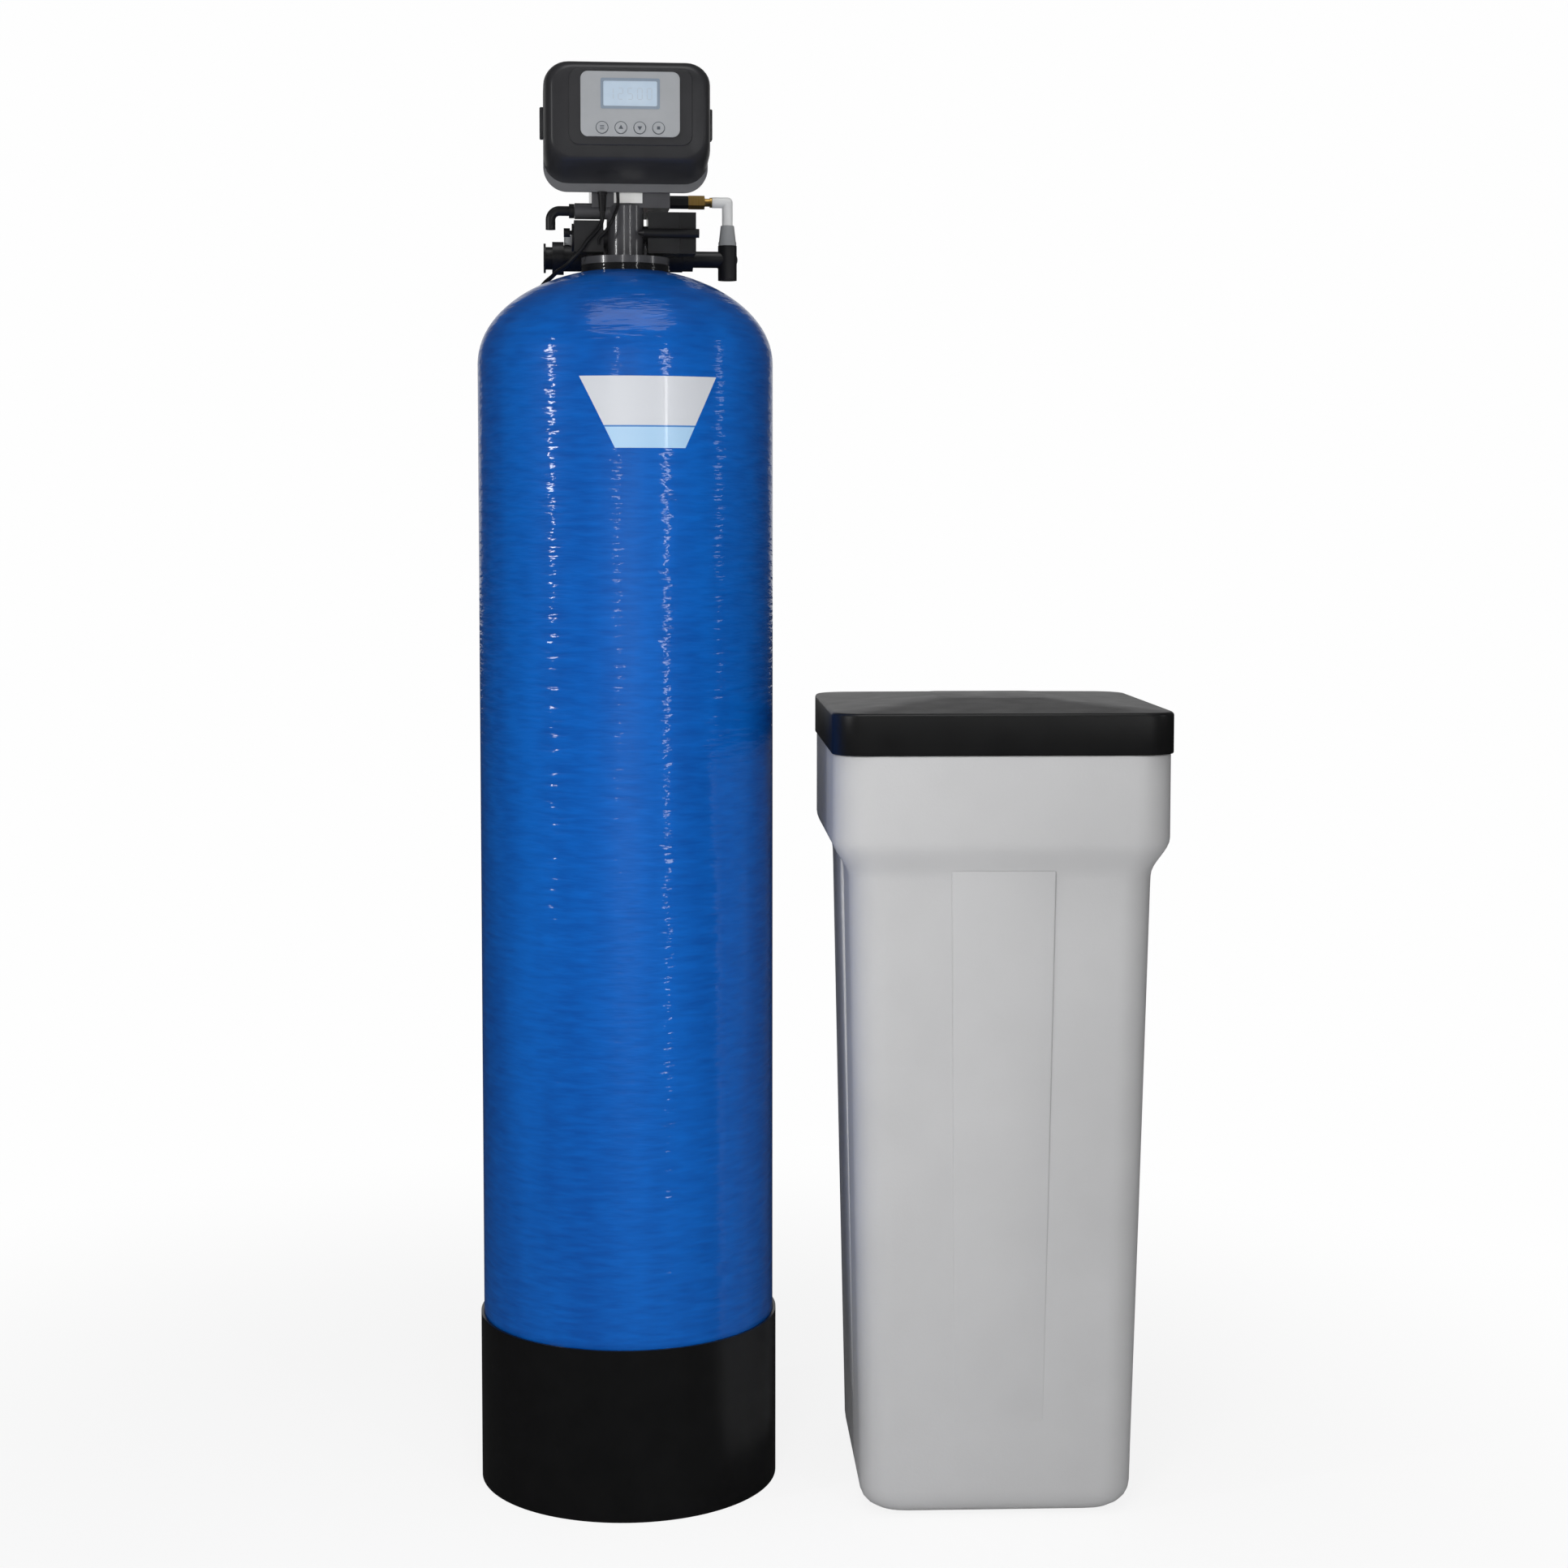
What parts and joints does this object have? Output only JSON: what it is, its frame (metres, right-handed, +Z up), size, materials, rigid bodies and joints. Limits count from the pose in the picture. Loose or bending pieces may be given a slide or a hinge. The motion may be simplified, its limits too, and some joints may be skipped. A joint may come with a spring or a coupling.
{
  "type": "water softener",
  "caption": "Household water softener: tall blue resin tank with a metered control valve on its neck, and a square grey brine tank with a black lift-off lid.",
  "frame": {"origin": "centre of the resin tank's foot on the floor", "axes": "+Z up along the resin tank, +X towards the brine tank, -Y towards the viewer of the display"},
  "size_m": [0.767, 0.4455, 1.606],
  "materials": {
    "tank_shell": "gloss",
    "tank_base": "satin",
    "tank_label": "satin",
    "gravel_bed": "matte",
    "resin_bed": "satin",
    "riser_tube": "satin",
    "lower_basket": "satin",
    "neck_seal": "matte",
    "valve_body": "satin",
    "spacer_stack": "satin",
    "piston": "satin",
    "drive_cap": "satin",
    "back_plate": "satin",
    "drive_bracket": "satin",
    "drive_motor": "satin",
    "main_gear": "satin",
    "front_cover": "satin",
    "display_panel": "satin",
    "lcd_screen": "gloss",
    "pc_board": "satin",
    "button_menu": "satin",
    "meter_housing": "satin",
    "meter_cap": "satin",
    "meter_turbine": "satin",
    "meter_lead": "satin",
    "injector_housing": "gloss",
    "injector_cap": "satin",
    "injector_nozzle": "satin",
    "injector_clip": "satin",
    "drain_elbow": "satin",
    "bypass_body": "satin",
    "bypass_nuts": "satin",
    "inlet_handle": "satin",
    "blend_knob": "satin",
    "inlet_union": "satin",
    "refill_union": "satin",
    "refill_elbow": "satin",
    "brass_nipple": "satin",
    "refill_socket": "satin",
    "strain_relief": "matte",
    "power_lead": "satin",
    "power_adapter": "matte",
    "brine_tank": "satin",
    "brine_lid": "satin",
    "salt_platform": "satin",
    "brine_well": "satin",
    "well_cap": "satin",
    "brine_pickup": "satin",
    "brine_float": "satin",
    "overflow_elbow": "satin",
    "overflow_nut": "satin",
    "line_grommet": "matte"
  },
  "bodies": {
    "softener": {"tank_shell": "tank_shell", "tank_base": "tank_base", "tank_label": "tank_label", "gravel_bed": "gravel_bed", "resin_bed": "resin_bed", "riser_tube": "riser_tube", "lower_basket": "lower_basket", "upper_basket": "lower_basket", "neck_seal": "neck_seal", "valve_body": "valve_body", "spacer_stack": "spacer_stack", "drive_cap": "drive_cap", "back_plate": "back_plate", "drive_bracket": "drive_bracket", "drive_motor": "drive_motor", "meter_housing": "meter_housing", "meter_cap": "meter_cap", "meter_lead": "meter_lead", "injector_housing": "injector_housing", "injector_cap": "injector_cap", "injector_nozzle": "injector_nozzle", "injector_clip": "injector_clip", "drain_elbow": "drain_elbow", "bypass_body": "bypass_body", "bypass_nuts": "bypass_nuts", "inlet_union": "inlet_union", "outlet_tee": "drive_cap", "refill_union": "refill_union", "refill_elbow": "refill_elbow", "brass_nipple": "brass_nipple", "refill_socket": "refill_socket", "strain_relief": "strain_relief", "power_lead": "power_lead", "power_adapter": "power_adapter", "brine_tank": "brine_tank", "salt_platform": "salt_platform", "brine_well": "brine_well", "brine_pickup": "brine_pickup", "overflow_elbow": "overflow_elbow", "overflow_nut": "overflow_nut", "line_grommet": "line_grommet"},
    "cover": {"front_cover": "front_cover", "display_panel": "display_panel", "lcd_screen": "lcd_screen", "pc_board": "pc_board"},
    "piston": {"piston": "piston"},
    "main_gear": {"main_gear": "main_gear"},
    "idler_gear": {"idler_gear": "main_gear"},
    "motor_pinion": {"motor_pinion": "main_gear"},
    "meter_turbine": {"meter_turbine": "meter_turbine"},
    "inlet_handle": {"inlet_handle": "inlet_handle"},
    "outlet_handle": {"outlet_handle": "inlet_handle"},
    "blend_knob": {"blend_knob": "blend_knob"},
    "brine_lid": {"brine_lid": "brine_lid"},
    "well_cap": {"well_cap": "well_cap"},
    "brine_float": {"brine_float": "brine_float"},
    "button_menu": {"button_menu": "button_menu"},
    "button_up": {"button_up": "button_menu"},
    "button_down": {"button_down": "button_menu"},
    "button_set": {"button_set": "button_menu"}
  },
  "joints": [
    {"name": "cover_pull", "type": "slide", "parent": "softener", "child": "cover", "axis": [0.0523, -0.9986, 0], "range_m": [0, 0.12]},
    {"name": "menu_press", "type": "slide", "parent": "cover", "child": "button_menu", "axis": [-0.0523, 0.9986, 0], "range_m": [0, 0.0012], "stiffness_N_per_m": 300},
    {"name": "up_press", "type": "slide", "parent": "cover", "child": "button_up", "axis": [-0.0523, 0.9986, 0], "range_m": [0, 0.0012], "stiffness_N_per_m": 300},
    {"name": "down_press", "type": "slide", "parent": "cover", "child": "button_down", "axis": [-0.0523, 0.9986, 0], "range_m": [0, 0.0012], "stiffness_N_per_m": 300},
    {"name": "set_press", "type": "slide", "parent": "cover", "child": "button_set", "axis": [-0.0523, 0.9986, 0], "range_m": [0, 0.0012], "stiffness_N_per_m": 300},
    {"name": "main_gear_turn", "type": "hinge", "parent": "softener", "child": "main_gear", "pos_m": [0.00157, -0.02996, 1.522], "axis": [-0.0523, 0.9986, 0], "range_deg": [0, 360]},
    {"name": "idler_turn", "type": "hinge", "parent": "softener", "child": "idler_gear", "pos_m": [0.0277, -0.02859, 1.54816], "axis": [-0.0523, 0.9986, 0], "range_deg": [-1550, 5]},
    {"name": "pinion_turn", "type": "hinge", "parent": "softener", "child": "motor_pinion", "pos_m": [0.04642, -0.03462, 1.56359], "axis": [-0.0523, 0.9986, 0], "range_deg": [-5, 2165]},
    {"name": "piston_stroke", "type": "slide", "parent": "softener", "child": "piston", "axis": [-0.0523, 0.9986, 0], "range_m": [0, 0.0321]},
    {"name": "turbine_spin", "type": "hinge", "parent": "softener", "child": "meter_turbine", "pos_m": [-0.04199, -0.0012, 1.4215], "axis": [0.9986, 0.0523, 0], "continuous": true},
    {"name": "inlet_handle_turn", "type": "hinge", "parent": "softener", "child": "inlet_handle", "pos_m": [-0.03382, 0.11038, 1.407], "axis": [0.0523, -0.9986, 0], "range_deg": [0, 90]},
    {"name": "outlet_handle_turn", "type": "hinge", "parent": "softener", "child": "outlet_handle", "pos_m": [0.0221, 0.11331, 1.407], "axis": [-0.0523, 0.9986, 0], "range_deg": [0, 90]},
    {"name": "blend_turn", "type": "hinge", "parent": "softener", "child": "blend_knob", "pos_m": [-0.06573, 0.08868, 1.428], "axis": [0, 0, 1], "range_deg": [0, 270]},
    {"name": "lid_lift", "type": "slide", "parent": "softener", "child": "brine_lid", "axis": [0, 0, 1], "range_m": [0, 0.25]},
    {"name": "well_cap_lift", "type": "slide", "parent": "softener", "child": "well_cap", "axis": [0, 0, 1], "range_m": [0, 0.03]},
    {"name": "float_rise", "type": "slide", "parent": "softener", "child": "brine_float", "axis": [0, 0, 1], "range_m": [0, 0.35]}
  ],
  "couplings": [
    {"joint": "idler_turn", "follows": "main_gear_turn", "ratio": -4.2857},
    {"joint": "pinion_turn", "follows": "main_gear_turn", "ratio": 6},
    {"joint": "piston_stroke", "follows": "main_gear_turn", "m_per_rad": 0.005093}
  ]
}
